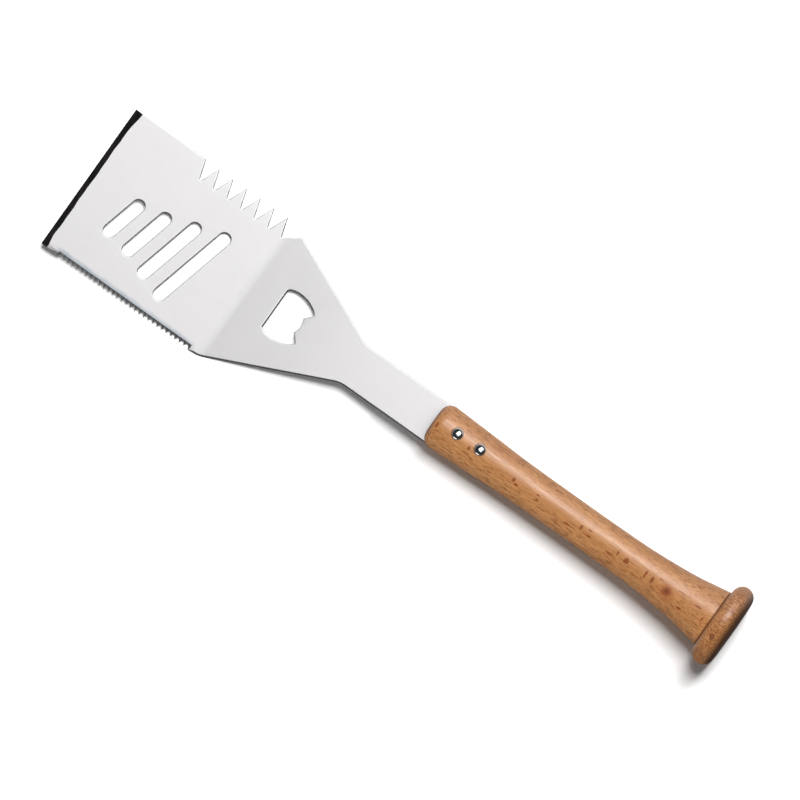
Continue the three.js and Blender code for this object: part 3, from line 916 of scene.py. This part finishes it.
def polished_rivet():
    """Bright metal with very fine marks, on the rivets."""
    s = Shader("polished_rivet")
    place = s.place()
    marks = s.noise(s.scaled(place, (900, 900, 900)), 3)
    colour = s.mix(s.span(marks, 0.3, 0.7), rgb(0.70, 0.70, 0.70), rgb(0.78, 0.78, 0.775))
    s.set(Base_Color=colour, Metallic=1.0, Roughness=s.span(marks, 0.3, 0.7, 0.07, 0.13))
    s.set(Normal=s.bump(marks, 0.000004, 0.3))
    return s.material


def white_floor():
    """A pale matt sheet, without gloss."""
    s = Shader("floor")
    fine = s.noise(s.scaled(s.place(), (12, 12, 12)), 2)
    s.set(Base_Color=s.mix(fine, rgb(0.90, 0.90, 0.90), rgb(0.91, 0.91, 0.91)), Roughness=0.9)
    s.surface.inputs["Specular IOR Level"].default_value = 0.0
    return s.material


# ---- Pieces -----------------------------------------------------------------------------------

SHARP_ANGLE = math.radians(40)


def finish_piece(piece, node):
    """Shades a piece cleanly, and puts it in the place of its CAD node."""
    piece.data.set_sharp_from_angle(angle=SHARP_ANGLE)
    weighted = piece.modifiers.new("weighted_normals", "WEIGHTED_NORMAL")
    weighted.keep_sharp = True
    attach(piece, "root")
    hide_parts(node)


def handle_place():
    """From the handle's own frame, X along its axis from the front face, to the row frame."""
    origin = Vector((HANDLE_FRONT_X - OVERALL_LENGTH / 2, 0, HANDLE_FRONT_Z)) * MM
    return Matrix.Translation(origin) @ Matrix.Rotation(-HANDLE_SLOPE, 4, "Y")


def crease_between_finishes(mesh):
    """Keeps the edge crisp where one grind or face of the sheet meets another."""
    bm = bmesh.new()
    bm.from_mesh(mesh)
    for edge in bm.edges:
        if len({face.material_index for face in edge.link_faces} - {STEEL_CUT_EDGE}) > 1:
            edge.smooth = False
    bm.to_mesh(mesh)
    bm.free()


def build_blade():
    materials = [satin_steel(), ground_front_painted_dark(), ground_side_painted_dark(), cut_edge()]
    piece = add_object("blade_sheet", blade_mesh(), materials)
    finish_piece(piece, "blade")
    crease_between_finishes(piece.data)


def build_handle():
    mesh = lathe("turned_handle", handle_profile(), HANDLE_SEGMENTS)
    piece = add_object("turned_handle", mesh, [oiled_beech()])
    subtract(piece, handle_cutters())
    piece.data.transform(handle_place())
    finish_piece(piece, "handle")


def build_rivets():
    steel = polished_rivet()
    for name, distance in RIVET_DISTANCES.items():
        under_head = radius_at(distance) - SEAT_DEPTH + UNDER_HEAD_GAP
        for part, shank, side in (("stem", STEM_RADIUS, 1), ("barrel", BARREL_RADIUS, -1)):
            profile = rivet_profile(shank, under_head - SHANK_STOP)
            mesh = lathe(f"{name}_{part}_turned", profile, RIVET_SEGMENTS)
            piece = add_object(mesh.name, mesh, [steel])
            # The lathe turns about X: stand it up, and turn the barrel over.
            stand = Matrix.Rotation(-side * math.pi / 2, 4, "Y")
            lift = Matrix.Translation(Vector((distance, RIVET_SIDEWAYS, side * under_head)) * MM)
            piece.data.transform(handle_place() @ lift @ stand)
            finish_piece(piece, f"{name}_{part}")


# ---- Stage ------------------------------------------------------------------------------------

CAMERA_DISTANCE = 12.0
PICTURE_WIDTH = 0.4664
CAMERA_ELEVATION = math.radians(89)
CAMERA_ROLL = math.radians(35.35)
PICTURE_CENTRE = (-0.0067, -0.0012)      # along X, and up the picture before it is rolled
SENSOR_WIDTH = 36


def build_camera():
    data = bpy.data.cameras.new("camera")
    data.sensor_width = SENSOR_WIDTH
    data.lens = SENSOR_WIDTH * CAMERA_DISTANCE / PICTURE_WIDTH
    data.clip_end = 100
    along = Vector((1, 0, 0))
    up = Vector((0, math.sin(CAMERA_ELEVATION), math.cos(CAMERA_ELEVATION)))
    back = along.cross(up)
    right = along * math.cos(CAMERA_ROLL) + up * math.sin(CAMERA_ROLL)
    centre = along * PICTURE_CENTRE[0] + up * PICTURE_CENTRE[1]
    camera = bpy.data.objects.new("camera", data)
    bpy.context.scene.collection.objects.link(camera)
    turn = Matrix((right, back.cross(right), back)).transposed().to_4x4()
    camera.matrix_world = Matrix.Translation(centre + back * CAMERA_DISTANCE) @ turn
    bpy.context.scene.camera = camera


def build_floor():
    """The pale floor, in two sheets that meet under the tang and look the same. The head's
    side and the handle's side of the studio are lit from slightly different places."""
    sheets = []
    white = white_floor()
    left, seam, right = -0.42, -0.015, 0.42
    near, far = -0.33, 0.6
    for name, start, end in (("floor_head", left, seam), ("floor_handle", seam, right)):
        mesh = bpy.data.meshes.new(name)
        corners = [(start, near, 0), (end, near, 0), (end, far, 0), (start, far, 0)]
        mesh.from_pydata(corners, [], [(0, 1, 2, 3)])
        floor = add_object(name, mesh, [white])
        floor.visible_glossy = False
        floor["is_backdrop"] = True
        sheets.append(floor)
    return sheets


def area_light(name, place, size, radiance, target):
    """A rectangular light with this much light leaving each part of it, facing a target."""
    data = bpy.data.lights.new(name, "AREA")
    data.shape = "RECTANGLE"
    data.size, data.size_y = size
    data.energy = radiance * math.pi * size[0] * size[1]
    light = bpy.data.objects.new(name, data)
    bpy.context.scene.collection.objects.link(light)
    light.location = place
    light.rotation_mode = "QUATERNION"
    light.rotation_quaternion = (Vector(target) - Vector(place)).to_track_quat("-Z", "Y")
    light.visible_camera = False
    return light


def link_light(light, receivers):
    """Makes a light fall on these pieces only."""
    group = bpy.data.collections.new(light.name + "_receivers")
    for piece in receivers:
        group.objects.link(piece)
    light.light_linking.receiver_collection = group


def build_world():
    """A white studio. Metal mirrors it as dark overhead. Lower down it is bright on the side
    the light comes from, and on the other side grey, then dark below the horizon."""
    world = bpy.data.worlds.new("studio")
    bpy.context.scene.world = world
    world.use_nodes = True
    nodes, links = world.node_tree.nodes, world.node_tree.links

    def spread(value, low, high, to_low, to_high):
        made = nodes.new("ShaderNodeMapRange")
        made.interpolation_type = "SMOOTHSTEP"
        links.new(value, made.inputs["Value"])
        for socket, number in zip(list(made.inputs)[1:5], (low, high, to_low, to_high)):
            socket.default_value = number
        return made.outputs["Result"]

    def blend(share, a, b):
        made = nodes.new("ShaderNodeMix")
        for socket, value in zip((made.inputs[0], made.inputs[2], made.inputs[3]), (share, a, b)):
            if isinstance(value, float):
                socket.default_value = value
            else:
                links.new(value, socket)
        return made.outputs[0]

    direction = nodes.new("ShaderNodeTexCoord").outputs["Generated"]
    parts = nodes.new("ShaderNodeSeparateXYZ")
    links.new(direction, parts.inputs[0])
    toward_light = nodes.new("ShaderNodeVectorMath")
    toward_light.operation = "DOT_PRODUCT"
    links.new(direction, toward_light.inputs[0])
    toward_light.inputs[1].default_value = (-0.55, 0.83, 0)
    lit_side = spread(toward_light.outputs["Value"], -0.12, 0.12, 0.0, 1.0)
    dark_side = spread(parts.outputs["Z"], 0.0, 0.25, 0.02, 0.38)
    overhead = spread(parts.outputs["Z"], 0.45, 0.75, 0.0, 1.0)
    mirrored = blend(overhead, blend(lit_side, dark_side, 0.78), 0.03)
    path = nodes.new("ShaderNodeLightPath").outputs
    unseen = blend(path["Is Glossy Ray"], 0.11, mirrored)
    links.new(blend(path["Is Camera Ray"], unseen, 1.0), nodes["Background"].inputs["Strength"])
    nodes["Background"].inputs["Color"].default_value = (1, 1, 1, 1)


def from_above(height, tilt_y, tilt_x):
    """A place this high, this many degrees off the vertical toward +Y and toward +X."""
    return height * math.tan(math.radians(tilt_x)), height * math.tan(math.radians(tilt_y)), height


ORIGIN = (0, 0, 0)
BOTH, DIFFUSE, GLOSSY = "both", "diffuse only", "glossy only"


def build_lights(floor_sheets):
    """The studio's lights. Each falls on one kind of surface only."""
    pieces = {o.name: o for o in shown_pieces()}
    blade, handle = [pieces["blade_sheet"]], [pieces["turned_handle"]]
    rivets = [o for name, o in pieces.items() if name.startswith("rivet")]
    head_floor, handle_floor = ([sheet] for sheet in floor_sheets)
    over_panel = (0.25, 0.38, 1.0)
    under_panel = (0.25, 0.38, 0)
    under_head = (-0.1, 0, 0)
    # Name, place, size, radiance, target, what it lights, and the rays that see it.
    for name, place, size, radiance, target, receivers, seen_by in (
        ("key_head_floor", from_above(1.4, 21.5, -12), (0.6, 0.72), 31, ORIGIN, head_floor, BOTH),
        ("key_handle_floor", from_above(1.4, 21.5, 5), (0.35, 0.72), 41, ORIGIN, handle_floor, BOTH),
        ("fill_handle_floor", (0.1, -0.2, 2.0), (3.0, 3.0), 0.12, ORIGIN, handle_floor, BOTH),
        ("handle_key", from_above(1.4, 20, -4), (0.45, 0.65), 17.5, ORIGIN, handle, DIFFUSE),
        ("handle_fill", (0.1, -0.9, 1.1), (1.4, 0.8), 2.3, ORIGIN, handle, DIFFUSE),
        ("handle_gleam", from_above(1.2, 29, 0), (0.9, 0.22), 36, ORIGIN, handle, GLOSSY),
        ("handle_sheen", (0.1, 1.3, 0.9), (2.0, 1.2), 2.2, ORIGIN, handle, GLOSSY),
        ("sheet_panel", over_panel, (1.6, 1.25), 1.38, under_panel, blade, BOTH),
        ("sheet_back", (-1.0, 0.25, 0.9), (0.9, 1.3), 0.2, under_head, blade, GLOSSY),
        ("sheet_side", (-0.3, 1.1, 0.5), (1.8, 0.8), 0.8, under_head, blade, GLOSSY),
        ("rivet_gleam", from_above(1.4, 10, 3), (0.6, 0.8), 2.2, ORIGIN, rivets, GLOSSY),
        ("rivet_rim", (0.0, -1.0, 0.9), (0.8, 0.5), 1.5, ORIGIN, rivets, GLOSSY),
    ):
        light = area_light(name, place, size, radiance, target)
        light.visible_glossy = seen_by != DIFFUSE
        light.visible_diffuse = seen_by != GLOSSY
        link_light(light, receivers)


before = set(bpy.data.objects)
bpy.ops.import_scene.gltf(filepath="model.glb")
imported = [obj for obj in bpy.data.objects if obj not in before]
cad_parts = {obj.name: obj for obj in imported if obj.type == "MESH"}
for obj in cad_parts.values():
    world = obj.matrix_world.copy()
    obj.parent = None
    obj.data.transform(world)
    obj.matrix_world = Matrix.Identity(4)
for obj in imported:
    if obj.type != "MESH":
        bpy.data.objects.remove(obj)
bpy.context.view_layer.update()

build_blade()
build_handle()
build_rivets()
build_camera()
build_world()
build_lights(build_floor())
bpy.context.scene.view_settings.view_transform = "Standard"

bpy.context.view_layer.update()
